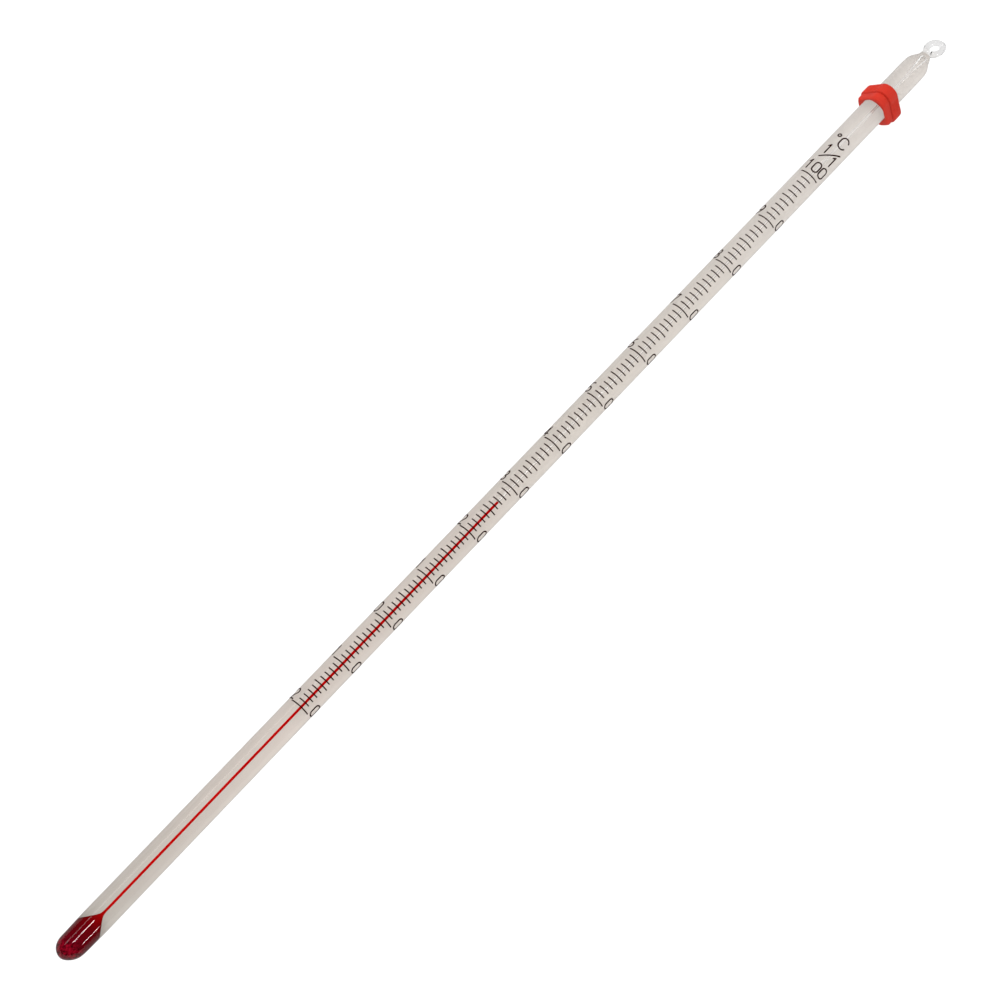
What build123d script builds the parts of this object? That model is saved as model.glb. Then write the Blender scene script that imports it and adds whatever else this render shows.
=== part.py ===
"""Red spirit stick thermometer, -20 to 100 degrees, lying on its anti-roll collar.

The stem runs along +X with the bulb at -X and the hanging eye at +X, and the scale faces up.
The origin is the bottom centre of the whole thermometer's box. Lengths are in millimetres.
"""
from build123d import *
from math import cos, radians, sin
import os

# Stem: a thick-walled glass capillary tube with an opal strip drawn into its back
TOTAL_LENGTH = 300.0
STEM_RADIUS = 3.15
BORE_RADIUS = 0.18
STEM_START = 13.4              # where the bulb is fused on, from the bulb's tip
STEM_END = 272.0               # where the flame-worked crown begins
OPAL_INNER_RADIUS = 2.2
OPAL_THICKNESS = 0.4
OPAL_HALF_ANGLE = 75.0         # either side of straight down
OPAL_START = 8.9               # beside the bulb's funnel
OPAL_END = 291.0               # in the crown

# Bulb: a thin glass shell, full of spirit, that funnels down to the bore
BULB_RADIUS = 3.03
BULB_WALL = 0.5
TIP_WALL = 0.6
DOME_LENGTH = 3.4
BULB_STRAIGHT_END = 7.5
SHOULDER_END = 11.0
SHOULDER_DROP = 0.02           # radius it still lacks at its end
FUNNEL_SLOPE = -0.515
FUNNEL_START = 7.4
CONE_START = (8.3, 2.2)        # distance from the tip, radius
CONE_LENGTH = 3.3

# Spirit thread: its top piece rides on the reading
MENISCUS_CLEARANCE = 0.01
MENISCUS_LENGTH = 16.0
MENISCUS_DIP = 0.08
READING = 27.3                 # degrees shown, read square on

# Crown and hanging eye
CROWN_SHOULDER = 288.0
CROWN_TAPER = 0.03             # radius lost between the stem's end and the shoulder
CROWN_CURVE = ((291.3, 2.74), (292.5, 2.1))    # distance from the tip, radius
CHAMBER_START = 288.3
CHAMBER_END = 293.4
CHAMBER_RADIUS = 1.05
NECK_START = 294.2
NECK_RADIUS = 1.4
NECK_SLOPE = -0.25
NECK_END = 295.7
EYE_ROD_RADIUS = 0.72
EYE_OUTER_RADIUS = 2.7
EYE_HOLE_RADIUS = 1.3          # the mandrel that the eye is wound on
EYE_TURN = 30.0                # the eye's plane, turned about the stem from -Y towards +Z
EYE_SHIFT = 0.4                # the eye is wound a little to one side of the stem

# Anti-roll collar: a rounded triangle, one flat down
COLLAR_START = 273.9
COLLAR_BOSS_LENGTH = 2.1
COLLAR_BAND_LENGTH = 3.0
COLLAR_APOTHEM = 4.15
COLLAR_CORNER_RADIUS = 2.7
COLLAR_STEP = 0.4              # the boss stands in from the band by this
COLLAR_NOSE_RADIUS = 4.4       # the boss's corners are turned back from this radius
COLLAR_NOSE_SLOPE = 1.0        # distance along the stem for each unit of radius
COLLAR_BACK_ROUND = 0.3
COLLAR_BORE_RADIUS = 3.24

# Scale: fired ink, a mark for each degree, further apart as the spirit warms
INK_THICKNESS = 0.03
SCALE_LOW = -20
SCALE_HIGH = 100
LOW_MARK = 72.8                # distance from the bulb's tip to the -20 mark
DEGREE_STEP = 1.3115           # length of a degree at the low end of the scale
DEGREE_GROWTH = 0.001265       # and its growth, as a second-order term
TICK_WIDTH = 0.3
DEGREE_HALF_ANGLE = 25.0
FIVE_HALF_ANGLE = 34.0
TEN_HALF_ANGLE = 47.0
MARKS_MIDDLE = 2.0             # the marks' middle, turned from straight up towards -Y

# Numerals, each wrapped round the stem on its own tangent plane
STROKE = 0.34
GLYPH_HALF_WIDTH = 0.79        # of the strokes' centre lines
GLYPH_HEIGHT = 2.85
GLYPH_RISE = 0.4               # baseline of a numeral above its mark
LEFT_DIGIT_ANGLE = -62.5
RIGHT_DIGIT_ANGLE = 67.5
HUNDRED_SPACING = 37.5
HUNDRED_RISE = 1.2
GLYPH_DEPTH = 0.9              # how far under the stem's surface a glyph's cut starts
DIVISION_START = 253.5
UNIT_START = 258.75

# The stem's axis stands above the surface by the collar's apothem
AXIS_HEIGHT = COLLAR_APOTHEM
STEM_AXIS = Axis((0, 0, AXIS_HEIGHT), (1, 0, 0))
STEM_LENGTH = STEM_END - STEM_START
INK_RADIUS = STEM_RADIUS + INK_THICKNESS
COLLAR_CORNER_REACH = 2 * (COLLAR_APOTHEM - COLLAR_CORNER_RADIUS)

# A profile sketch: its x is the distance from the bulb's tip and its y is the radius
PROFILE = Plane(origin=(-TOTAL_LENGTH / 2, 0, AXIS_HEIGHT), x_dir=(1, 0, 0), z_dir=(0, -1, 0))


def cross_section(distance):
    """The plane across the stem at a distance from the bulb's tip, with its y up."""
    origin = (distance - TOTAL_LENGTH / 2, 0, AXIS_HEIGHT)
    return Plane(origin=origin, x_dir=(0, 1, 0), z_dir=(1, 0, 0))


def radial(angle):
    """The direction out of the stem, turned from straight up towards -Y."""
    return Vector(0, -sin(radians(angle)), cos(radians(angle)))


def mark_distance(degree):
    """The distance from the bulb's tip to a degree's mark."""
    rise = degree - SCALE_LOW
    return LOW_MARK + DEGREE_STEP * rise + DEGREE_GROWTH * rise**2


os.makedirs("parts", exist_ok=True)

# Stem ---------------------------------------------------------------------------------------
with BuildPart() as opal_backing:
    with BuildSketch(cross_section(OPAL_START)):
        with BuildLine():
            low_angle = -90 - OPAL_HALF_ANGLE
            opal_outer_radius = OPAL_INNER_RADIUS + OPAL_THICKNESS
            inside = CenterArc((0, 0), OPAL_INNER_RADIUS, low_angle, 2 * OPAL_HALF_ANGLE)
            outside = CenterArc((0, 0), opal_outer_radius, low_angle, 2 * OPAL_HALF_ANGLE)
            Line(inside @ 0, outside @ 0)
            Line(inside @ 1, outside @ 1)
        make_face()
    extrude(amount=OPAL_END - OPAL_START)
opal_backing.part.label = "opal_backing"
export_step(opal_backing.part, "parts/opal_backing.step")

with BuildPart() as stem_glass:
    with BuildSketch(cross_section(STEM_START)):
        Circle(STEM_RADIUS)
        Circle(BORE_RADIUS, mode=Mode.SUBTRACT)
    extrude(amount=STEM_LENGTH)
    add(opal_backing.part, mode=Mode.SUBTRACT)
stem_glass.part.label = "stem_glass"
export_step(stem_glass.part, "parts/stem_glass.step")

# Bulb ---------------------------------------------------------------------------------------
cone_end = (CONE_START[0] + CONE_LENGTH, CONE_START[1] + FUNNEL_SLOPE * CONE_LENGTH)
cavity_radius = BULB_RADIUS - BULB_WALL

with BuildPart() as bulb_spirit:
    with BuildSketch(PROFILE):
        with BuildLine():
            dome_centre = (DOME_LENGTH, 0)
            Line((TIP_WALL, 0), (STEM_START, 0))
            Line((STEM_START, 0), (STEM_START, BORE_RADIUS))
            Spline(
                cone_end,
                (STEM_START, BORE_RADIUS),
                tangents=[(1, FUNNEL_SLOPE), (1, 0)],
            )
            Line(CONE_START, cone_end)
            Spline(
                (FUNNEL_START, cavity_radius),
                CONE_START,
                tangents=[(1, 0), (1, FUNNEL_SLOPE)],
            )
            Line((DOME_LENGTH, cavity_radius), (FUNNEL_START, cavity_radius))
            EllipticalCenterArc(
                dome_centre, DOME_LENGTH - TIP_WALL, cavity_radius, start_angle=90, arc_size=90
            )
        make_face()
    revolve(axis=STEM_AXIS)
bulb_spirit.part.label = "bulb_spirit"
export_step(bulb_spirit.part, "parts/bulb_spirit.step")

with BuildPart() as bulb_glass:
    with BuildSketch(PROFILE):
        with BuildLine():
            shoulder_radius = STEM_RADIUS - SHOULDER_DROP
            Line((0, 0), (STEM_START, 0))
            Line((STEM_START, 0), (STEM_START, STEM_RADIUS))
            Line((STEM_START, STEM_RADIUS), (SHOULDER_END, shoulder_radius))
            Spline(
                (BULB_STRAIGHT_END, BULB_RADIUS),
                (SHOULDER_END, shoulder_radius),
                tangents=[(1, 0), (1, 0)],
            )
            Line((DOME_LENGTH, BULB_RADIUS), (BULB_STRAIGHT_END, BULB_RADIUS))
            EllipticalCenterArc(
                dome_centre, DOME_LENGTH, BULB_RADIUS, start_angle=90, arc_size=90
            )
        make_face()
    revolve(axis=STEM_AXIS)
    add(bulb_spirit.part, mode=Mode.SUBTRACT)
    add(opal_backing.part, mode=Mode.SUBTRACT)
bulb_glass.part.label = "bulb_glass"
export_step(bulb_glass.part, "parts/bulb_glass.step")

# Spirit in the bore -------------------------------------------------------------------------
meniscus_top = mark_distance(READING)
meniscus_base = meniscus_top - MENISCUS_LENGTH
meniscus_radius = BORE_RADIUS - MENISCUS_CLEARANCE

with BuildPart() as spirit_thread:
    with BuildSketch(cross_section(STEM_START)):
        Circle(BORE_RADIUS)
    extrude(amount=meniscus_base - STEM_START)
spirit_thread.part.label = "spirit_thread"
export_step(spirit_thread.part, "parts/spirit_thread.step")

with BuildPart() as thread_meniscus:
    with BuildSketch(PROFILE):
        with BuildLine():
            dip = (meniscus_top - MENISCUS_DIP, 0)
            rim = (meniscus_top, meniscus_radius)
            Line((meniscus_base, 0), dip)
            TangentArc(dip, rim, tangent=(0, 1))
            Line(rim, (meniscus_base, meniscus_radius))
            Line((meniscus_base, meniscus_radius), (meniscus_base, 0))
        make_face()
    revolve(axis=STEM_AXIS)
thread_meniscus.part.label = "thread_meniscus"
export_step(thread_meniscus.part, "parts/thread_meniscus.step")

# Crown and eye ------------------------------------------------------------------------------
with BuildPart() as crown_glass:
    with BuildSketch(PROFILE):
        with BuildLine():
            shoulder = (CROWN_SHOULDER, STEM_RADIUS - CROWN_TAPER)
            Line((STEM_END, 0), (STEM_END, STEM_RADIUS))
            Line((STEM_END, STEM_RADIUS), shoulder)
            Spline(
                shoulder,
                *CROWN_CURVE,
                (NECK_START, NECK_RADIUS),
                tangents=[(1, 0), (1, NECK_SLOPE)],
            )
            Line((NECK_START, NECK_RADIUS), (NECK_START, 0))
            Line((NECK_START, 0), (STEM_END, 0))
        make_face()
    revolve(axis=STEM_AXIS)
    with BuildSketch(PROFILE):
        with BuildLine():
            chamber_middle = CHAMBER_END - CHAMBER_RADIUS
            Line((STEM_END, 0), (CHAMBER_END, 0))
            CenterArc((chamber_middle, 0), CHAMBER_RADIUS, 0, 90)
            Spline(
                (CHAMBER_START, BORE_RADIUS),
                (chamber_middle, CHAMBER_RADIUS),
                tangents=[(1, 0), (1, 0)],
            )
            Line((STEM_END, BORE_RADIUS), (CHAMBER_START, BORE_RADIUS))
            Line((STEM_END, 0), (STEM_END, BORE_RADIUS))
        make_face()
    revolve(axis=STEM_AXIS, mode=Mode.SUBTRACT)
    add(opal_backing.part, mode=Mode.SUBTRACT)
crown_glass.part.label = "crown_glass"
export_step(crown_glass.part, "parts/crown_glass.step")

eye_across = radial(90 - EYE_TURN)
eye_centre = (
    TOTAL_LENGTH / 2 - EYE_OUTER_RADIUS,
    EYE_SHIFT * eye_across.Y,
    AXIS_HEIGHT + EYE_SHIFT * eye_across.Z,
)
EYE_PLANE = Plane(origin=eye_centre, x_dir=(1, 0, 0), z_dir=Vector(1, 0, 0).cross(eye_across))

with BuildPart(EYE_PLANE) as hanging_eye:
    Torus(EYE_OUTER_RADIUS - EYE_ROD_RADIUS, EYE_ROD_RADIUS)
    Cylinder(EYE_HOLE_RADIUS, 2 * EYE_ROD_RADIUS, mode=Mode.SUBTRACT)
    with BuildSketch(cross_section(NECK_START)):
        Circle(NECK_RADIUS)
    with BuildSketch(cross_section(NECK_END)):
        Circle(EYE_ROD_RADIUS)
    loft()
hanging_eye.part.label = "hanging_eye"
export_step(hanging_eye.part, "parts/hanging_eye.step")

# Anti-roll collar ---------------------------------------------------------------------------


def collar_outline(inset):
    """A rounded triangle with a corner straight up, smaller all round by the inset."""
    with PolarLocations(COLLAR_CORNER_REACH, 3, start_angle=90):
        Circle(COLLAR_CORNER_RADIUS - inset)
    make_hull()


with BuildPart() as anti_roll_collar:
    with BuildSketch(cross_section(COLLAR_START)):
        collar_outline(COLLAR_STEP)
    extrude(amount=COLLAR_BOSS_LENGTH)
    with BuildSketch(PROFILE):
        with BuildLine():
            boss_end = COLLAR_START + COLLAR_BOSS_LENGTH
            turned_radius = COLLAR_NOSE_RADIUS + COLLAR_BOSS_LENGTH / COLLAR_NOSE_SLOPE
            Polyline(
                (COLLAR_START, 0),
                (COLLAR_START, COLLAR_NOSE_RADIUS),
                (boss_end, turned_radius),
                (boss_end, 0),
                close=True,
            )
        make_face()
    revolve(axis=STEM_AXIS, mode=Mode.INTERSECT)
    with BuildSketch(cross_section(COLLAR_START + COLLAR_BOSS_LENGTH)):
        collar_outline(0)
    extrude(amount=COLLAR_BAND_LENGTH)
    fillet(anti_roll_collar.faces().sort_by(Axis.X)[-1].edges(), COLLAR_BACK_ROUND)
    with BuildSketch(cross_section(COLLAR_START)):
        Circle(COLLAR_BORE_RADIUS)
    extrude(amount=COLLAR_BOSS_LENGTH + COLLAR_BAND_LENGTH, mode=Mode.SUBTRACT)
anti_roll_collar.part.label = "anti_roll_collar"
export_step(anti_roll_collar.part, "parts/anti_roll_collar.step")

# Scale marks --------------------------------------------------------------------------------


def write_marks(name, degrees, half_angle):
    """Bands of ink part of the way round the stem, one at each degree given."""
    start = radial(MARKS_MIDDLE - half_angle)
    plane = Plane(
        origin=PROFILE.origin, x_dir=(1, 0, 0), z_dir=Vector(1, 0, 0).cross(start)
    )
    spots = [(mark_distance(degree), STEM_RADIUS + INK_THICKNESS / 2) for degree in degrees]
    with BuildPart() as marks:
        with BuildSketch(plane):
            with Locations(*spots):
                Rectangle(TICK_WIDTH, INK_THICKNESS)
        revolve(axis=STEM_AXIS, revolution_arc=2 * half_angle)
    marks.part.label = name
    export_step(marks.part, f"parts/{name}.step")


scale = range(SCALE_LOW, SCALE_HIGH + 1)
write_marks("degree_ticks", [d for d in scale if d % 5], DEGREE_HALF_ANGLE)
write_marks("five_degree_ticks", [d for d in scale if d % 10 == 5], FIVE_HALF_ANGLE)
write_marks("ten_degree_ticks", [d for d in scale if d % 10 == 0], TEN_HALF_ANGLE)


def line_stroke(start, end):
    SlotArc(Edge.make_line(start, end), STROKE)


def arc_stroke(centre, radius, start_angle, end_angle):
    SlotArc(Edge.make_circle(radius, Plane(centre), start_angle, end_angle), STROKE)


def draw_glyph(character):
    """The strokes of one character, its baseline at y = 0 and its middle at x = 0."""
    wide = GLYPH_HALF_WIDTH
    tall = GLYPH_HEIGHT
    small = 0.66               # radius of the loops of a 3 and an 8
    swing = 1.2 + wide         # radius of the tails of a 6 and a 9
    if character == "0":
        arc_stroke((0, tall - wide), wide, 0, 180)
        arc_stroke((0, wide), wide, 180, 360)
        line_stroke((-wide, wide), (-wide, tall - wide))
        line_stroke((wide, wide), (wide, tall - wide))
    elif character == "1":
        line_stroke((0, 0), (0, tall))
        line_stroke((0, tall), (-0.5, tall - 0.6))
    elif character == "2":
        arc_stroke((0, tall - wide), wide, -30, 165)
        line_stroke((0.68, tall - 1.19), (-wide, 0))
        line_stroke((-wide, 0), (wide, 0))
    elif character == "3":
        arc_stroke((0, tall - small), small, -90, 155)
        arc_stroke((0, tall / 2 - small), small + 0.03, -155, 90)
    elif character == "4":
        line_stroke((0.35, 0), (0.35, tall))
        line_stroke((0.35, tall), (-wide, 0.8))
        line_stroke((-wide, 0.8), (wide, 0.8))
    elif character == "5":
        line_stroke((wide, tall), (-0.6, tall))
        line_stroke((-0.6, tall), (-0.6, 1.35))
        arc_stroke((0, wide), wide, -150, 137)
    elif character == "6":
        arc_stroke((0, wide), wide, 0, 180)
        arc_stroke((0, wide), wide, 180, 360)
        arc_stroke((swing - wide, wide), swing, 106, 180)
    elif character == "7":
        line_stroke((-wide, tall), (wide, tall))
        line_stroke((wide, tall), (-0.25, 0))
    elif character == "8":
        arc_stroke((0, tall - small), small, 0, 180)
        arc_stroke((0, tall - small), small, 180, 360)
        arc_stroke((0, tall / 2 - small), small + 0.06, 0, 180)
        arc_stroke((0, tall / 2 - small), small + 0.06, 180, 360)
    elif character == "9":
        arc_stroke((0, tall - wide), wide, 0, 180)
        arc_stroke((0, tall - wide), wide, 180, 360)
        arc_stroke((wide - swing, tall - wide), swing, -74, 0)
    elif character == "/":
        line_stroke((-1.85, 0), (1.85, 3.5))
    elif character == "degree":
        arc_stroke((0, 2.8), 0.4, 0, 180)
        arc_stroke((0, 2.8), 0.4, 180, 360)
    elif character == "C":
        arc_stroke((0, 2.1), 1.03, 20, 180)
        arc_stroke((0, 1.03), 1.03, 180, 340)
        line_stroke((-1.03, 1.03), (-1.03, 2.1))


def write_text(name, glyphs):
    """Ink characters on the stem: each is its text, its angle, and its baseline's distance."""
    with BuildPart() as text:
        for character, angle, distance in glyphs:
            outward = radial(angle)
            foot = PROFILE.origin + Vector(distance, 0, 0) + outward * (STEM_RADIUS - GLYPH_DEPTH)
            # the character's top is towards +X, so it is read from +Y to -Y
            plane = Plane(origin=foot, x_dir=Vector(1, 0, 0).cross(outward), z_dir=outward)
            with BuildSketch(plane):
                draw_glyph(character)
            extrude(amount=2 * GLYPH_DEPTH)
        with BuildSketch(cross_section(0)):
            Circle(INK_RADIUS)
            Circle(STEM_RADIUS, mode=Mode.SUBTRACT)
        extrude(amount=TOTAL_LENGTH, mode=Mode.INTERSECT)
    text.part.label = name
    export_step(text.part, f"parts/{name}.step")


for degree in range(SCALE_LOW, SCALE_HIGH, 10):
    tens = str(abs(degree) // 10)
    foot_distance = mark_distance(degree) + GLYPH_RISE
    label = f"numeral_minus_{-degree}" if degree < 0 else f"numeral_{degree}"
    left_digit = (tens, LEFT_DIGIT_ANGLE, foot_distance)
    right_digit = ("0", RIGHT_DIGIT_ANGLE, foot_distance)
    write_text(label, [left_digit, right_digit])

hundred_distance = mark_distance(SCALE_HIGH) + HUNDRED_RISE
hundred = [
    ("1", -HUNDRED_SPACING, hundred_distance),
    ("0", 0, hundred_distance),
    ("0", HUNDRED_SPACING, hundred_distance),
]
write_text("numeral_100", hundred)

# One degree per mark, and the unit
division = [
    ("1", -21, DIVISION_START + 1.9),
    ("/", 6, DIVISION_START + 0.5),
    ("1", 35, DIVISION_START),
]
write_text("division_mark", division)
write_text("unit_mark", [("degree", -25.5, UNIT_START), ("C", 14.5, UNIT_START)])
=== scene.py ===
import math

import bpy
from mathutils import Matrix, Vector


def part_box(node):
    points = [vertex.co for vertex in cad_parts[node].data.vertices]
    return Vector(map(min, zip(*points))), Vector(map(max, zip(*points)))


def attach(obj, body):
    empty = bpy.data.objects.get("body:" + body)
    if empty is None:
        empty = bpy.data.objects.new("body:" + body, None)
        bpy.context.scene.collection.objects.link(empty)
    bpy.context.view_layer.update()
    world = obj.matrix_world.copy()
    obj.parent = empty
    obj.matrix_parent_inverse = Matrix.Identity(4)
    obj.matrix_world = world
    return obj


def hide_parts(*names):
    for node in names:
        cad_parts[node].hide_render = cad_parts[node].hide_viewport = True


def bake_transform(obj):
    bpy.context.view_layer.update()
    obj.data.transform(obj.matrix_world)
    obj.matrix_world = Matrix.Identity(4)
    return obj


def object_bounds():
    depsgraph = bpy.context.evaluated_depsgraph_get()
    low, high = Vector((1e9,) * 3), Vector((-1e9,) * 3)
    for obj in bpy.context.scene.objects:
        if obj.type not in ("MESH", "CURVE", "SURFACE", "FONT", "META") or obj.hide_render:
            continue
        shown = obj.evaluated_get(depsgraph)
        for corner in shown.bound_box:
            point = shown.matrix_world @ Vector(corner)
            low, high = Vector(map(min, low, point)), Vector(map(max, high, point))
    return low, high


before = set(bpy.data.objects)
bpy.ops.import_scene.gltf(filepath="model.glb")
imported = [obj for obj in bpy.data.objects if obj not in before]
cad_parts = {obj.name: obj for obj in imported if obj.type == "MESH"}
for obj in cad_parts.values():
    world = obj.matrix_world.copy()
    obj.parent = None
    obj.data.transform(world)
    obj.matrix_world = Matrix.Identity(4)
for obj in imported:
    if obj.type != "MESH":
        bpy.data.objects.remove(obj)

cad_low, cad_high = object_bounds()

# Sizes, in metres. Stations are distances from the bulb's tip, towards the hanging eye. ----------
MM = 0.001
stem_low, stem_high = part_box("stem_glass")
bulb_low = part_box("bulb_glass")[0]
meniscus_low, meniscus_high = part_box("thread_meniscus")
eye_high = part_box("hanging_eye")[1]
collar_low, collar_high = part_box("anti_roll_collar")

TIP_X = bulb_low.x
AXIS = Vector((0, 0, (stem_low.z + stem_high.z) / 2))
TOTAL_LENGTH = eye_high.x - TIP_X
STEM_RADIUS = (stem_high.z - stem_low.z) / 2
STEM_START = stem_low.x - TIP_X
STEM_END = stem_high.x - TIP_X
THREAD_TOP = meniscus_high.x - TIP_X
COLLAR_START = collar_low.x - TIP_X
COLLAR_LENGTH = collar_high.x - collar_low.x
BORE_RADIUS = 0.18 * MM
WETTING = 0.012 * MM           # the spirit's skin overlaps the glass, so no air shows between them

# The plane of the hanging eye: it holds the stem's axis and leans 30 degrees up from -Y
EYE_LEAN = math.radians(30)
EYE_ACROSS = Vector((0, -math.cos(EYE_LEAN), math.sin(EYE_LEAN)))
EYE_NORMAL = Vector((1, 0, 0)).cross(EYE_ACROSS)


def axes_at(x_axis, y_axis, z_axis, origin):
    """The placing of a thing whose own axes point these three ways."""
    rows = [(x_axis[i], y_axis[i], z_axis[i], origin[i]) for i in range(3)]
    return Matrix((*rows, (0, 0, 0, 1)))


# Camera ---------------------------------------------------------------------------------------
def add_camera():
    """Above the bulb end and turned a little towards -Y, with the stem across the frame's diagonal."""
    distance = 0.5995          # from the stem's line
    foot = -0.0619             # station nearest the camera, beyond the bulb's tip
    incline = math.radians(18.5)
    around = math.radians(7.2)
    roll = math.radians(46.185)
    out = Vector((0, -math.sin(around), math.cos(around)))
    across = Vector((0, -math.cos(around), -math.sin(around)))
    eye = AXIS + Vector((TIP_X + foot, 0, 0)) + out * distance
    target = AXIS + Vector((TIP_X + foot + distance * math.tan(incline), 0, 0)) + across * 0.037 * MM
    back = (eye - target).normalized()
    along = (Vector((1, 0, 0)) - back * back.x).normalized()
    beside = back.cross(along)
    right = along * math.cos(roll) - beside * math.sin(roll)
    up = along * math.sin(roll) + beside * math.cos(roll)
    camera = bpy.data.objects.new("camera", bpy.data.cameras.new("camera"))
    bpy.context.scene.collection.objects.link(camera)
    camera.data.sensor_width = 36
    camera.data.lens = 102.24
    camera.data.clip_start = 0.01
    camera.matrix_world = axes_at(right, up, back, eye)
    bpy.context.scene.camera = camera


add_camera()


# Mesh helpers ---------------------------------------------------------------------------------
def point_at(station, across=0.0, normal=0.0):
    """A point in the eye's plane and off it, at a station along the stem."""
    return AXIS + Vector((TIP_X + station, 0, 0)) + EYE_ACROSS * across + EYE_NORMAL * normal


def eased(points):
    """A smooth curve through (station, value) points in millimetres that never overshoots them."""
    xs = [p[0] * MM for p in points]
    ys = [p[1] * MM for p in points]
    steps = [(ys[i + 1] - ys[i]) / (xs[i + 1] - xs[i]) for i in range(len(xs) - 1)]
    slopes = [steps[0]]
    for before, after in zip(steps, steps[1:]):
        slopes.append(2 * before * after / (before + after) if before * after > 0 else 0.0)
    slopes.append(steps[-1])

    def value(x):
        if x <= xs[0]:
            return ys[0]
        if x >= xs[-1]:
            return ys[-1]
        i = max(k for k in range(len(xs) - 1) if xs[k] <= x)
        span = xs[i + 1] - xs[i]
        t = (x - xs[i]) / span
        rise = (2 * t**3 - 3 * t**2 + 1) * ys[i] + (3 * t**2 - 2 * t**3) * ys[i + 1]
        return rise + span * ((t**3 - 2 * t**2 + t) * slopes[i] + (t**3 - t**2) * slopes[i + 1])

    return value


def spaced(start, end, count):
    return [start + (end - start) * i / count for i in range(count + 1)]


def make_piece(name, verts, faces, material, body, smooth=True):
    mesh = bpy.data.meshes.new(name)
    mesh.from_pydata([tuple(v) for v in verts], [], faces)
    mesh.validate()
    mesh.polygons.foreach_set("use_smooth", [smooth] * len(mesh.polygons))
    mesh.materials.append(material)
    piece = bpy.data.objects.new(name, mesh)
    bpy.context.scene.collection.objects.link(piece)
    if body:
        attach(piece, body)
    return piece


class Shell:
    """Rings of points joined into a closed skin; inward flips it, for the wall of a hollow."""

    def __init__(self):
        self.verts, self.faces = [], []

    def add(self, rings, inward=False):
        size = max(len(ring) for ring in rings)
        starts = []
        for ring in rings:
            starts.append(len(self.verts))
            self.verts.extend(ring)
        for a, b, ring_a, ring_b in zip(starts, starts[1:], rings, rings[1:]):
            for k in range(size):
                m = (k + 1) % size
                if len(ring_a) == 1:
                    face = (a, b + m, b + k)
                elif len(ring_b) == 1:
                    face = (a + k, a + m, b)
                else:
                    face = (a + k, a + m, b + m, b + k)
                self.faces.append(face[::-1] if inward else face)
        for start, ring, last in ((starts[0], rings[0], False), (starts[-1], rings[-1], True)):
            if len(ring) > 1:
                cap = tuple(range(start, start + len(ring)))
                self.faces.append(cap if last != inward else cap[::-1])


def circle(centre, across, normal, radius, count):
    turn = 2 * math.pi / count
    return [
        centre + across * (radius * math.cos(turn * k)) + normal * (radius * math.sin(turn * k))
        for k in range(count)
    ]


def rings_about_axis(stations, radius_at, count):
    """Circles about the stem's axis; a radius of nothing is a single point."""
    rings = []
    for station in stations:
        radius = radius_at(station)
        if radius < 1e-7:
            rings.append([point_at(station)])
        else:
            rings.append(circle(point_at(station), EYE_ACROSS, EYE_NORMAL, radius, count))
    return rings


# Points round each ring of the outer skin, of the hollow and of the thread
SKIN_COUNT, HOLLOW_COUNT, THREAD_COUNT = 96, 64, 32


# Materials ------------------------------------------------------------------------------------
def new_material(name):
    material = bpy.data.materials.new(name)
    material.use_nodes = True
    tree = material.node_tree
    return material, tree, tree.nodes["Principled BSDF"]


def add_noise(tree, scale, detail=4.0, rough=0.55, stretch=(1, 1, 1)):
    place = tree.nodes.new("ShaderNodeTexCoord")
    spread = tree.nodes.new("ShaderNodeMapping")
    spread.inputs["Scale"].default_value = stretch
    tree.links.new(place.outputs["Object"], spread.inputs["Vector"])
    noise = tree.nodes.new("ShaderNodeTexNoise")
    noise.inputs["Scale"].default_value = scale
    noise.inputs["Detail"].default_value = detail
    noise.inputs["Roughness"].default_value = rough
    tree.links.new(spread.outputs["Vector"], noise.inputs["Vector"])
    return noise.outputs["Fac"]


def add_ramp(tree, value, stops):
    """A colour ramp from (position, colour) stops."""
    ramp = tree.nodes.new("ShaderNodeValToRGB")
    while len(ramp.color_ramp.elements) < len(stops):
        ramp.color_ramp.elements.new(0.5)
    for element, (position, colour) in zip(ramp.color_ramp.elements, stops):
        element.position = position
        element.color = (*colour, 1)
    tree.links.new(value, ramp.inputs["Fac"])
    return ramp.outputs["Color"]


def add_range(tree, value, low, high, to_low, to_high):
    change = tree.nodes.new("ShaderNodeMapRange")
    for socket, number in zip(
        ("From Min", "From Max", "To Min", "To Max"), (low, high, to_low, to_high)
    ):
        change.inputs[socket].default_value = number
    tree.links.new(value, change.inputs["Value"])
    return change.outputs["Result"]


def add_bump(tree, shader, height, strength, distance):
    bump = tree.nodes.new("ShaderNodeBump")
    bump.inputs["Strength"].default_value = strength
    bump.inputs["Distance"].default_value = distance
    tree.links.new(height, bump.inputs["Height"])
    tree.links.new(bump.outputs["Normal"], shader.inputs["Normal"])


def as_grey(tree, value):
    grey = tree.nodes.new("ShaderNodeCombineColor")
    for channel in ("Red", "Green", "Blue"):
        tree.links.new(value, grey.inputs[channel])
    return grey.outputs["Color"]


def mirror_share(tree):
    """One for a ray that has just been reflected by something glossy, and nothing for any other."""
    path = tree.nodes.new("ShaderNodeLightPath")
    share = tree.nodes.new("ShaderNodeMath")
    share.operation = "SUBTRACT"
    share.use_clamp = True
    tree.links.new(path.outputs["Is Glossy Ray"], share.inputs[0])
    tree.links.new(path.outputs["Is Transmission Ray"], share.inputs[1])
    return share.outputs["Value"]


def object_axis(tree, axis):
    place = tree.nodes.new("ShaderNodeTexCoord")
    split = tree.nodes.new("ShaderNodeSeparateXYZ")
    tree.links.new(place.outputs["Object"], split.inputs["Vector"])
    return split.outputs[axis]


def light_evenly(tree, shader):
    """As if light scattered inside it, so its curve is lit the same all over."""
    upright = tree.nodes.new("ShaderNodeCombineXYZ")
    upright.inputs["Z"].default_value = 1
    tree.links.new(upright.outputs["Vector"], shader.inputs["Normal"])


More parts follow.
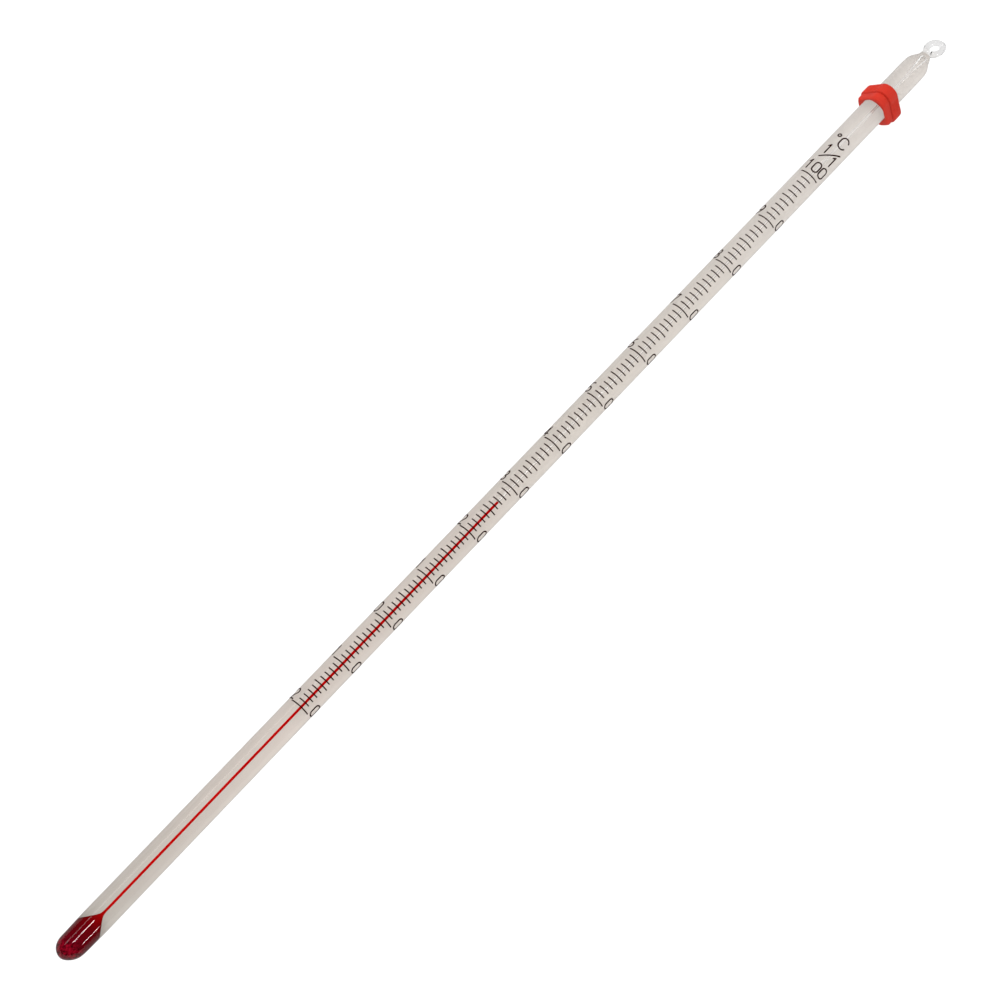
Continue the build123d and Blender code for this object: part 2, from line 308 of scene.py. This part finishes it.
def mix_colours(tree, factor, a, b, blend="MIX"):
    mix = tree.nodes.new("ShaderNodeMix")
    mix.data_type = "RGBA"
    mix.blend_type = blend
    for socket, value in ((mix.inputs["Factor"], factor), (mix.inputs[6], a), (mix.inputs[7], b)):
        if isinstance(value, bpy.types.NodeSocket):
            tree.links.new(value, socket)
        elif isinstance(value, tuple):
            socket.default_value = (*value, 1)
        else:
            socket.default_value = value
    return mix.outputs[2]


def glass_material():
    """Clear fire-polished glass, greyer at the crown and the hanging eye. Lamps shine through to what
    is inside.
    """
    material, tree, shader = new_material("clear_glass")
    shader.inputs["Transmission Weight"].default_value = 1
    shader.inputs["IOR"].default_value = 1.47
    along = add_range(tree, object_axis(tree, "X"), TIP_X, TIP_X + TOTAL_LENGTH, 0, 1)
    crown_and_eye_grey = [(0.97, (0.99, 0.985, 0.98)), (0.981, (0.7, 0.68, 0.66)), (0.99, (0.72, 0.715, 0.715))]
    tree.links.new(add_ramp(tree, along, crown_and_eye_grey), shader.inputs["Base Color"])
    smear = add_noise(tree, 160, 5, 0.6, (0.25, 1, 1))
    tree.links.new(add_range(tree, smear, 0.5, 0.8, 0.0, 0.002), shader.inputs["Roughness"])
    path = tree.nodes.new("ShaderNodeLightPath")
    clear = tree.nodes.new("ShaderNodeBsdfTransparent")
    clear.inputs["Color"].default_value = (0.93, 0.93, 0.93, 1)
    mix = tree.nodes.new("ShaderNodeMixShader")
    tree.links.new(path.outputs["Is Shadow Ray"], mix.inputs["Fac"])
    tree.links.new(shader.outputs["BSDF"], mix.inputs[1])
    tree.links.new(clear.outputs["BSDF"], mix.inputs[2])
    tree.links.new(mix.outputs["Shader"], tree.nodes["Material Output"].inputs["Surface"])
    return material


def opal_material():
    """Milky enamel glass, a little lighter towards the hanging eye, with drawn streaks."""
    material, tree, shader = new_material("opal_glass")
    along = add_range(tree, object_axis(tree, "X"), TIP_X, TIP_X + TOTAL_LENGTH, 0, 1)
    tone = add_ramp(
        tree,
        along,
        [
            (0.03, (0.293, 0.275, 0.25)),
            (0.2, (0.35, 0.32, 0.293)),
            (0.6, (0.37, 0.343, 0.315)),
            (0.95, (0.375, 0.353, 0.333)),
        ],
    )
    streaks = add_noise(tree, 900, 3, 0.5, (0.01, 1, 1))
    cloud = add_range(tree, streaks, 0.3, 0.7, 0.94, 1.05)
    colour = mix_colours(tree, 1.0, tone, as_grey(tree, cloud), "MULTIPLY")
    tree.links.new(colour, shader.inputs["Base Color"])
    # painted glow: emission that stands in for light coming through the strip from its other side
    tree.links.new(colour, shader.inputs["Emission Color"])
    shader.inputs["Emission Strength"].default_value = 0.95
    shader.inputs["Roughness"].default_value = 0.6
    shader.inputs["Specular IOR Level"].default_value = 0.2
    light_evenly(tree, shader)
    return material


def spirit_material():
    """Dyed spirit in the bulb: wine red, with a painted reflection that makes the dome brighter and
    blotchy, and red at the funnel.
    """
    material, tree, shader = new_material("red_spirit_bulb")
    along = add_range(tree, object_axis(tree, "X"), TIP_X, TIP_X + STEM_START, 0, 1)
    # the brighter stops towards the dome are a painted reflection
    depth = add_ramp(
        tree,
        along,
        [
            (0.0, (0.13, 0.0012, 0.007)),
            (0.28, (0.10, 0.0008, 0.005)),
            (0.38, (0.085, 0.0005, 0.003)),
            (0.62, (0.09, 0.0005, 0.002)),
            (0.78, (0.14, 0.0004, 0.001)),
            (1.0, (0.28, 0.0004, 0.0004)),
        ],
    )
    # painted reflection: blotches that lighten and darken the dome, faded out past it
    painted_dome_reflection = add_range(tree, add_noise(tree, 1500, 4, 0.7), 0.4, 0.62, 0.3, 1.9)
    past_painted_reflection = add_range(tree, along, 0.24, 0.4, 0, 1)
    blend = tree.nodes.new("ShaderNodeMix")
    blend.data_type = "FLOAT"
    tree.links.new(past_painted_reflection, blend.inputs["Factor"])
    tree.links.new(painted_dome_reflection, blend.inputs["A"])
    blend.inputs["B"].default_value = 1.0
    colour = mix_colours(tree, 1.0, depth, as_grey(tree, blend.outputs["Result"]), "MULTIPLY")
    tree.links.new(colour, shader.inputs["Base Color"])
    # painted glow: emission that stands in for light passing right through the spirit from below
    tree.links.new(colour, shader.inputs["Emission Color"])
    shader.inputs["Emission Strength"].default_value = 0.6
    shader.inputs["Roughness"].default_value = 0.6
    shader.inputs["Specular IOR Level"].default_value = 0.0
    light_evenly(tree, shader)
    return material


def thread_material():
    """The same spirit in the bore, where it is too thin to look dark."""
    material, tree, shader = new_material("red_spirit_thread")
    shade = add_noise(tree, 600, 2, 0.5, (0.05, 1, 1))
    colour = add_ramp(tree, shade, [(0.35, (0.42, 0.0006, 0.0006)), (0.65, (0.48, 0.001, 0.001))])
    tree.links.new(colour, shader.inputs["Base Color"])
    shader.inputs["Roughness"].default_value = 0.6
    shader.inputs["Specular IOR Level"].default_value = 0.0
    return material


def silicone_material():
    """Matte moulded silicone with a fine tooth, slightly uneven in colour."""
    material, tree, shader = new_material("red_silicone")
    fine = add_noise(tree, 2600, 6, 0.7)
    broad = add_noise(tree, 220, 3, 0.5)
    colour = add_ramp(tree, broad, [(0.3, (0.49, 0.0165, 0.005)), (0.7, (0.55, 0.022, 0.0065))])
    tree.links.new(colour, shader.inputs["Base Color"])
    tree.links.new(add_range(tree, fine, 0.3, 0.7, 0.52, 0.68), shader.inputs["Roughness"])
    shader.inputs["Specular IOR Level"].default_value = 0.3
    shader.inputs["Subsurface Weight"].default_value = 0.12
    shader.inputs["Subsurface Radius"].default_value = (0.0012, 0.0003, 0.0002)
    shader.inputs["Subsurface Scale"].default_value = 1.0
    add_bump(tree, shader, fine, 0.25, 0.00004)
    return material


def ink_material():
    """Fired brown ink, a little thin and uneven, as it is when screened round a tube."""
    material, tree, shader = new_material("scale_ink")
    wear = add_noise(tree, 3200, 5, 0.7)
    tones = [(0.3, (0.012, 0.001, 0.001)), (0.62, (0.02, 0.002, 0.001)), (0.8, (0.045, 0.006, 0.004))]
    colour = add_ramp(tree, wear, tones)
    tree.links.new(colour, shader.inputs["Base Color"])
    tree.links.new(add_range(tree, wear, 0.3, 0.7, 0.45, 0.7), shader.inputs["Roughness"])
    shader.inputs["Specular IOR Level"].default_value = 0.02
    add_bump(tree, shader, wear, 0.2, 0.00001)
    return material


GLASS = glass_material()
OPAL = opal_material()
SPIRIT = spirit_material()
THREAD = thread_material()
SILICONE = silicone_material()
INK = ink_material()

# Outer and inner outlines of the glass ---------------------------------------------------------
BULB_RADIUS = 3.03 * MM
DOME_LENGTH = 3.4 * MM
TIP_WALL = 0.6 * MM
CAVITY_RADIUS = 2.53 * MM
FUNNEL_END = 14 * MM           # where the bulb's hollow has narrowed to the bore
CHAMBER_START = 286 * MM       # where the bore begins to widen again
CROWN_BEND = 287 * MM          # where the crown begins to close in
NECK_STATION = 293 * MM
EYE_ROD = 0.72 * MM
EYE_RADIUS = 1.98 * MM
EYE_CENTRE = (TOTAL_LENGTH - 2.7 * MM, 0.4 * MM)

radius_mm = STEM_RADIUS / MM
end_mm = STEM_END / MM
outer_after_dome = eased(
    [
        (DOME_LENGTH / MM, BULB_RADIUS / MM),
        (7.0, 3.1),
        (10.6, 3.172),
        (STEM_START / MM, radius_mm + 0.02),
        (20.0, radius_mm),
        (end_mm, radius_mm),
        (288.0, radius_mm - 0.03),
        (290.2, 3.04),
        (291.3, 2.74),
        (292.5, 2.12),
        (293.5, 1.64),
        (294.5, 1.3),
        (295.4, 0.95),
        (296.2, 0.76),
        (297.0, 0.72),
    ]
)
cavity_after_dome = eased(
    [
        (DOME_LENGTH / MM, CAVITY_RADIUS / MM),
        (7.4, CAVITY_RADIUS / MM),
        (8.3, 2.2),
        (9.6, 1.5),
        (10.6, 0.98),
        (11.6, 0.5),
        (12.4, 0.25),
        (13.4, BORE_RADIUS / MM),
        (FUNNEL_END / MM, BORE_RADIUS / MM),
    ]
)
CHAMBER_RADIUS = 0.55 * MM
CHAMBER_MIDDLE = 292.35 * MM
CHAMBER_END = 293.4 * MM
chamber = eased(
    [
        (CHAMBER_START / MM, BORE_RADIUS / MM),
        (287.5, 0.22),
        (289.6, 0.35),
        (291.4, 0.5),
        (292.3, CHAMBER_RADIUS / MM),
    ]
)


def dome(station, length, radius, tip):
    """The radius of a rounded end that starts at tip and is full at length."""
    back = (length - station) / (length - tip)
    return radius * math.sqrt(max(0.0, 1 - back * back))


def outer_radius(station):
    if station < DOME_LENGTH:
        return dome(station, DOME_LENGTH, BULB_RADIUS, 0)
    return outer_after_dome(station)


def cavity_radius(station):
    if station < DOME_LENGTH:
        return dome(station, DOME_LENGTH, CAVITY_RADIUS, TIP_WALL)
    if station < FUNNEL_END:
        return cavity_after_dome(station)
    if station < CHAMBER_MIDDLE:
        return chamber(station)
    mirrored = 2 * CHAMBER_MIDDLE - station
    return dome(mirrored, CHAMBER_MIDDLE, CHAMBER_RADIUS, 2 * CHAMBER_MIDDLE - CHAMBER_END)


def dome_stations(tip, end, count):
    """Stations that go round a dome in even steps."""
    turn = math.pi / 2 / count
    return [tip + (end - tip) * (1 - math.cos(turn * i)) for i in range(count + 1)]


def eye_path():
    """(centre, direction, radius) along the drawn glass, from the neck, round the eye and back."""
    start_turn, end_turn = math.radians(-125), math.radians(163)
    cx, cy = EYE_CENTRE
    steps = []
    ax, ay = NECK_STATION, 0.0
    bx = cx + EYE_RADIUS * math.cos(start_turn)
    by = cy + EYE_RADIUS * math.sin(start_turn)
    reach = 3.2 * MM
    leave = (-math.sin(start_turn), math.cos(start_turn))
    for i in range(1, 20):
        t = i / 20
        h00, h10 = 2 * t**3 - 3 * t**2 + 1, t**3 - 2 * t**2 + t
        h01, h11 = 3 * t**2 - 2 * t**3, t**3 - t**2
        x = h00 * ax + h10 * reach + h01 * bx + h11 * reach * leave[0]
        y = h00 * ay + h01 * by + h11 * reach * leave[1]
        d00, d10 = 6 * t**2 - 6 * t, 3 * t**2 - 4 * t + 1
        d01, d11 = 6 * t - 6 * t**2, 3 * t**2 - 2 * t
        dx = d00 * ax + d10 * reach + d01 * bx + d11 * reach * leave[0]
        dy = d00 * ay + d01 * by + d11 * reach * leave[1]
        steps.append((x, y, dx, dy, outer_after_dome(x)))
    count = 60
    unevenness = 0.06 * MM
    for i in range(count + 1):
        turn = start_turn + (end_turn - start_turn) * i / count
        swell = unevenness * math.sin(turn * 1.5 + 0.6) ** 2
        x = cx + EYE_RADIUS * math.cos(turn)
        y = cy + EYE_RADIUS * math.sin(turn)
        steps.append((x, y, -math.sin(turn), math.cos(turn), EYE_ROD + swell * min(1, i / 10)))
    return steps


def glass_rings():
    """The outer skin, from the bulb's tip to the rod's melted end."""
    stations = dome_stations(0, DOME_LENGTH, 22)
    stations += spaced(DOME_LENGTH, STEM_START, 36)[1:]
    stations += spaced(STEM_START, STEM_END, 60)[1:]
    stations += spaced(STEM_END, CROWN_BEND, 8)[1:]
    stations += spaced(CROWN_BEND, NECK_STATION, 30)[1:]
    rings = rings_about_axis(stations, outer_radius, SKIN_COUNT)
    path = eye_path()
    for x, y, dx, dy, radius in path:
        length = math.hypot(dx, dy)
        across = (EYE_ACROSS * dx - Vector((1, 0, 0)) * dy) / length
        rings.append(circle(point_at(x, y), across, EYE_NORMAL, radius, SKIN_COUNT))
    x, y, dx, dy, radius = path[-1]
    across = EYE_ACROSS * dx - Vector((1, 0, 0)) * dy
    onward = Vector((1, 0, 0)) * dx + EYE_ACROSS * dy
    melt = 0.22 * MM
    for i in range(1, 7):
        turn = math.pi / 2 * i / 6
        inset = melt * (1 - math.cos(turn))
        centre = point_at(x, y) + onward * (melt * math.sin(turn))
        rings.append(circle(centre, across, EYE_NORMAL, radius - inset, SKIN_COUNT))
    rings.append([point_at(x, y) + onward * (melt + 0.03 * MM)])
    # the dome was blown a little fuller on its +Y side
    lean_length, shift, flattening = 5 * MM, 0.15 * MM, 0.75 * MM
    for ring in rings:
        for k, point in enumerate(ring):
            station = point.x - TIP_X
            low_side = max(0.0, -point.y / BULB_RADIUS)
            if station < lean_length:
                lean = (1 - station / lean_length) ** 2
                ring[k] = point + Vector((0, shift + flattening * low_side, 0)) * lean
    return rings


def hollow_rings():
    stations = dome_stations(TIP_WALL, DOME_LENGTH, 18)
    stations += spaced(DOME_LENGTH, FUNNEL_END, 60)[1:]
    stations += spaced(FUNNEL_END, CHAMBER_START, 60)[1:]
    stations += spaced(CHAMBER_START, CHAMBER_MIDDLE, 32)[1:]
    far_end = dome_stations(2 * CHAMBER_MIDDLE - CHAMBER_END, CHAMBER_MIDDLE, 12)
    stations += [2 * CHAMBER_MIDDLE - station for station in far_end[::-1]][1:]
    return rings_about_axis(stations, cavity_radius, HOLLOW_COUNT)


def make_glass():
    shell = Shell()
    shell.add(glass_rings())
    shell.add(hollow_rings(), inward=True)
    piece = make_piece("glass_body", shell.verts, shell.faces, GLASS, "stem")
    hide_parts("stem_glass", "bulb_glass", "crown_glass", "hanging_eye")


def make_opal():
    """A curved strip inside the back of the stem, closing in with the crown."""
    inner, outer, half = 2.2 * MM, 2.6 * MM, math.radians(75)
    steps = 40
    start, end = 7 * MM, 294.6 * MM
    plain_start, plain_end = 20 * MM, 286 * MM
    skin, funnel_gap, funnel_depth = 0.1 * MM, 0.05 * MM, 0.3 * MM
    fade_length, least_fade = 3 * MM, 0.15
    stations = spaced(start, plain_start, 26)
    stations += spaced(plain_start, plain_end, 40)[1:]
    stations += spaced(plain_end, end, 24)[1:]
    rings = []
    for station in stations:
        close = min(1.0, (outer_radius(station) - skin) / (STEM_RADIUS - skin))
        fade = min(1.0, max(least_fade, (end - station) / fade_length) ** 0.5)
        # beside the funnel it lies between the spirit and the skin
        funnel = cavity_radius(station) + funnel_gap if station < STEM_START else 0
        near, far = max(inner, funnel), max(outer, funnel + funnel_depth)
        ring = []
        for radius, angles in ((far, range(steps + 1)), (near, range(steps, -1, -1))):
            for k in angles:
                angle = -math.pi / 2 + half * fade * (2 * k / steps - 1)
                place = Vector((0, math.cos(angle), math.sin(angle))) * radius * close
                ring.append(AXIS + Vector((TIP_X + station, 0, 0)) + place)
        rings.append(ring)
    shell = Shell()
    shell.add(rings)
    piece = make_piece("opal_strip", shell.verts, shell.faces, OPAL, "stem", smooth=False)
    piece.data.polygons.foreach_set("use_smooth", [len(p.vertices) == 4 for p in piece.data.polygons])
    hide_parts("opal_backing")


def make_spirit():
    stations = dome_stations(TIP_WALL - WETTING, DOME_LENGTH, 18)
    stations += spaced(DOME_LENGTH, FUNNEL_END, 60)[1:]

    def wet_radius(station):
        if station < DOME_LENGTH:
            return dome(station, DOME_LENGTH, CAVITY_RADIUS + WETTING, TIP_WALL - WETTING)
        return cavity_radius(station) + WETTING

    shell = Shell()
    shell.add(rings_about_axis(stations, wet_radius, HOLLOW_COUNT))
    piece = make_piece("bulb_filling", shell.verts, shell.faces, SPIRIT, "stem")
    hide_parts("bulb_spirit")


def make_thread():
    """The column that stretches with the reading, and its concave top, which rides on it."""
    wet = BORE_RADIUS + WETTING
    base = meniscus_low.x - TIP_X
    root, overlap = 13.6 * MM, 0.2 * MM
    shell = Shell()
    shell.add(rings_about_axis(spaced(root, base + overlap, 120), lambda s: wet, THREAD_COUNT))
    column = make_piece("spirit_column", shell.verts, shell.faces, THREAD, None)
    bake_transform(column)
    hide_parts("spirit_thread")

    dip = 0.08 * MM
    rings = rings_about_axis(spaced(base, THREAD_TOP, 12), lambda s: wet, THREAD_COUNT)
    for i in range(1, 5):
        share = 1 - i / 5
        depth = THREAD_TOP - dip * (1 - share**2)
        rings += rings_about_axis([depth], lambda s: wet * share, THREAD_COUNT)
    rings.append([point_at(THREAD_TOP - dip)])
    shell = Shell()
    shell.add(rings)
    top = make_piece("spirit_top", shell.verts, shell.faces, THREAD, "meniscus")
    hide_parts("thread_meniscus")


make_glass()
make_opal()
make_spirit()
make_thread()


# Collar ---------------------------------------------------------------------------------------
def make_collar():
    """A rounded triangle with a stepped boss towards the bulb and fine grip ribs on its flats."""
    corner_reach, corner_radius, bore = 2.9, 2.7, 3.24
    per_corner, per_flat = 20, 48
    flat_length = corner_reach * math.sqrt(3)
    rib_pitch, rib_height = 0.62, 0.2
    nose_radius, nose_slope, nose_ease, nose_limit = 4.5, 1.15, 0.3, 0.3

    def outline(inset, ribs):
        """Points round the section, from the middle of the top corner, in millimetres."""
        points = []
        radius = corner_radius - inset
        for corner in range(3):
            facing = math.radians(90 + 120 * corner)
            centre = Vector((corner_reach * math.cos(facing), corner_reach * math.sin(facing)))
            for k in range(per_corner):
                angle = facing + math.radians(60) * (2 * k / per_corner - 1)
                points.append(centre + Vector((math.cos(angle), math.sin(angle))) * radius)
            out = Vector((math.cos(facing + math.radians(60)), math.sin(facing + math.radians(60))))
            along = Vector((-out.y, out.x))
            for k in range(per_flat):
                run = flat_length * k / per_flat
                edge = min(1.0, 4 * min(run, flat_length - run) / flat_length)
                wave = 0.5 - 0.5 * math.cos(2 * math.pi * run / rib_pitch)
                lift = -rib_height * wave * edge * ribs
                points.append(centre + out * (radius + lift) + along * run)
        return points

    total = per_corner * 3 + per_flat * 3
    length = COLLAR_LENGTH / MM
    boss, step, groove = 2.1, 0.34, 0.7

    def bore_ring(radius):
        """The bore, with as many points as the outline and in line with them."""
        ring = []
        for point in outline(0, 0):
            angle = math.atan2(point.y, point.x)
            ring.append(Vector((math.cos(angle), math.sin(angle))) * radius)
        return ring

    def placed(points, depth):
        base = AXIS + Vector((TIP_X + COLLAR_START, 0, 0))
        return [base + Vector((depth * MM, p.x * MM, p.y * MM)) for p in points]

    def turned(points, depth):
        """As placed, with the corners outside the nose radius turned back to a cone."""
        base = AXIS + Vector((TIP_X + COLLAR_START, 0, 0))
        ring = []
        for p in points:
            back = max(depth, depth * nose_ease + nose_slope * max(0.0, p.length - nose_radius))
            ring.append(base + Vector((min(back, boss - nose_limit) * MM, p.x * MM, p.y * MM)))
        return ring

    rings = []
    for radius, depth in ((bore, length - 0.12), (bore, length / 2), (bore, 0.5), (bore + 0.04, 0.2)):
        rings.append(placed(bore_ring(radius), depth))
    rings.append(placed(bore_ring(bore + 0.16), 0.06))
    front_round = 0.6
    for i in range(9):
        turn = math.pi / 2 * i / 8
        inset = step + front_round * (1 - math.sin(turn))
        rings.append(turned(outline(inset, 0), front_round * (1 - math.cos(turn))))
    for depth, inset in (
        (boss - 0.35, step),
        (boss - 0.2, step + 0.03),
        (boss - 0.07, groove),
        (boss + 0.06, groove),
    ):
        rings.append(placed(outline(inset, 0), depth))
    for depth, inset, ribs in (
        (boss + 0.12, 0.2, 0.2),
        (boss + 0.2, 0.06, 0.7),
        (boss + 0.34, 0.0, 1),
        (length / 2 + 1, 0.0, 1),
        (length - 0.5, 0.02, 1),
        (length - 0.28, 0.08, 0.8),
        (length - 0.1, 0.24, 0.3),
        (length, 0.5, 0),
    ):
        rings.append(placed(outline(inset, ribs), depth))
    rings.append(placed(bore_ring(bore + 0.12), length))

    verts = [v for ring in rings for v in ring]
    faces = []
    for i in range(len(rings)):
        j = (i + 1) % len(rings)
        for k in range(total):
            m = (k + 1) % total
            faces.append((i * total + k, i * total + m, j * total + m, j * total + k))
    piece = make_piece("collar", verts, faces, SILICONE, "collar")
    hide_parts("anti_roll_collar")


make_collar()

# Scale: the CAD marks have the right shape, and take the ink's finish ---------------------------
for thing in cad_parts.values():
    if thing.hide_render:
        continue
    for place in thing.material_slots:
        place.link = "OBJECT"
        place.material = INK


# Stage and light ------------------------------------------------------------------------------
def add_floor():
    half = 3.0
    level = cad_low.z - 0.05 * MM
    corners = [(-half, -half, level), (half, -half, level), (half, half, level), (-half, half, level)]
    floor = make_piece("floor", corners, [(0, 1, 2, 3)], floor_material(), None, smooth=False)


def floor_material():
    material, tree, shader = new_material("pale_floor")
    tone = add_ramp(tree, add_noise(tree, 3), [(0.3, (0.1, 0.1, 0.1)), (0.7, (0.12, 0.12, 0.12))])
    tree.links.new(tone, shader.inputs["Base Color"])
    shader.inputs["Roughness"].default_value = 0.9
    shader.inputs["Specular IOR Level"].default_value = 0
    shader.inputs["Emission Color"].default_value = (1, 1, 1, 1)
    glow = add_range(tree, mirror_share(tree), 0, 1, 1.0, 0.3)
    tree.links.new(glow, shader.inputs["Emission Strength"])
    return material


def add_lamp(name, station, turn, distance, width, length, radiance, mirrored=True):
    """A flat lamp over a station of the stem, turned about it from straight up towards -Y."""
    turn = math.radians(turn)
    toward = Vector((0, -math.sin(turn), math.cos(turn)))
    centre = point_at(station)
    data = bpy.data.lights.new(name, "AREA")
    data.shape = "RECTANGLE"
    data.size = length
    data.size_y = width
    data.energy = radiance * math.pi * width * length
    lamp = bpy.data.objects.new(name, data)
    bpy.context.scene.collection.objects.link(lamp)
    beside = toward.cross(Vector((1, 0, 0))).normalized()
    along = beside.cross(toward)
    lamp.matrix_world = axes_at(along, beside, toward, centre + toward * distance)
    lamp.visible_glossy = mirrored


def add_world():
    world = bpy.data.worlds.new("studio")
    bpy.context.scene.world = world
    world.use_nodes = True
    tree = world.node_tree
    background = tree.nodes["Background"]
    background.inputs["Color"].default_value = (1, 1, 1, 1)
    glow = add_range(tree, mirror_share(tree), 0, 1, 1.05, 0.015)
    tree.links.new(glow, background.inputs["Strength"])


add_floor()
add_world()
# name, station, turn in degrees, distance, width, length, radiance
add_lamp("overhead", 0.0, -4, 1.4, 0.6, 1.4, 1.6, mirrored=False)
add_lamp("collar_fill", 0.3, -58, 0.5, 0.2, 0.16, 5, mirrored=False)
add_lamp("side_softbox", 0.05, -43, 0.6, 0.12, 0.6, 1.6)
add_lamp("bulb_glint_left", 0.0565, -4.5, 0.6, 0.07, 0.027, 18)
add_lamp("bulb_glint_right", 0.054, 57.2, 0.6, 0.05, 0.025, 20)

bpy.context.scene.view_settings.view_transform = "Standard"
